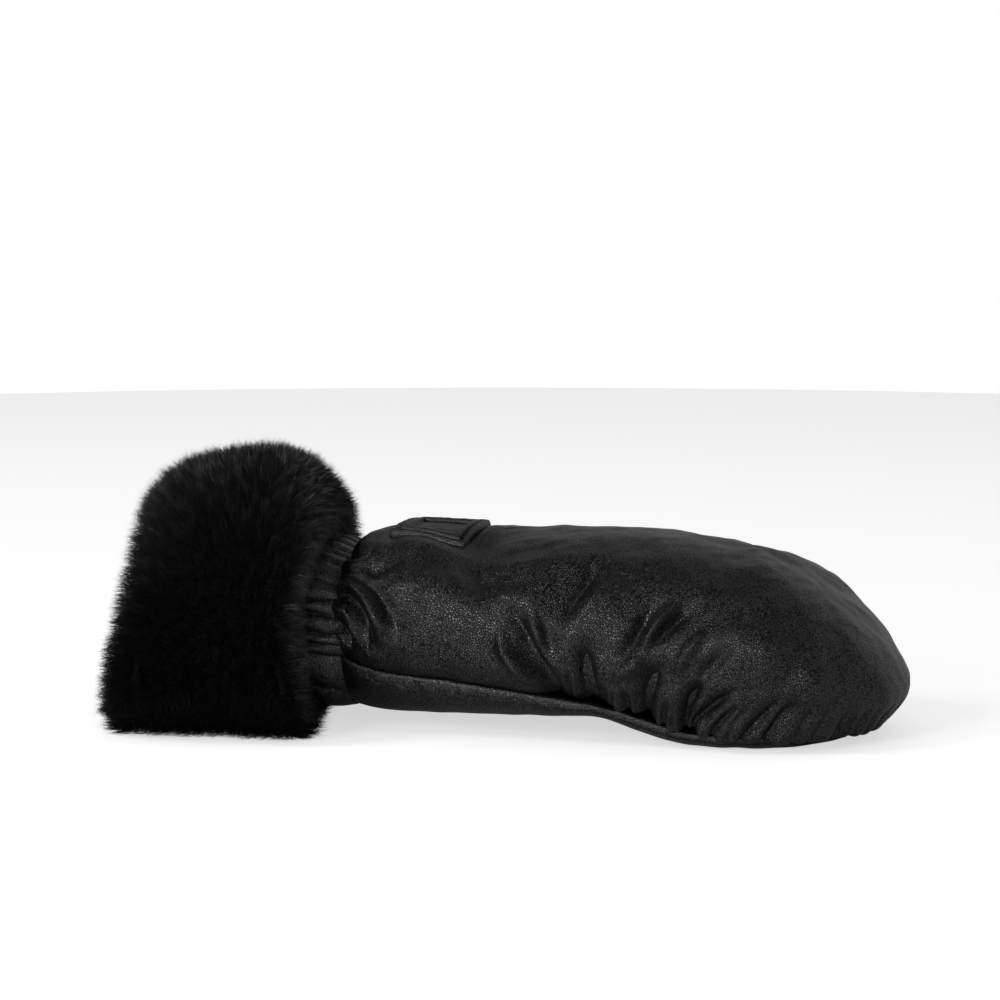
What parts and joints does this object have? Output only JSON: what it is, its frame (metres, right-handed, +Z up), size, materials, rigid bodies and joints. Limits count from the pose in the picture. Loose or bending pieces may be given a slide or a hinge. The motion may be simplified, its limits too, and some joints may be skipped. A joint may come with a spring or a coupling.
{
  "type": "leather mitten",
  "caption": "Padded black leather winter mitten with a gathered back panel, flat palm, shirred elastic wrist, deep black fur cuff and a plain square badge.",
  "frame": {"origin": "middle of the bounding box in plan, on the ground plane that the palm and the cuff rest on", "axes": "+X from the cuff to the fingertips, +Y to the thumb side, +Z up through the back of the hand"},
  "size_m": [0.3028, 0.176, 0.1014],
  "materials": {
    "leather": "fine pebbled black nappa leather, soft sheen",
    "fur": "long dense black fur pile",
    "badge_leather": "smooth black leather, embossed plain border"
  },
  "bodies": {
    "root": {"back_panel": "leather", "palm_panel": "leather", "thumb_back": "leather", "thumb_palm": "leather", "wrist_band": "leather", "fur_cuff": "fur", "badge": "badge_leather"}
  },
  "joints": []
}
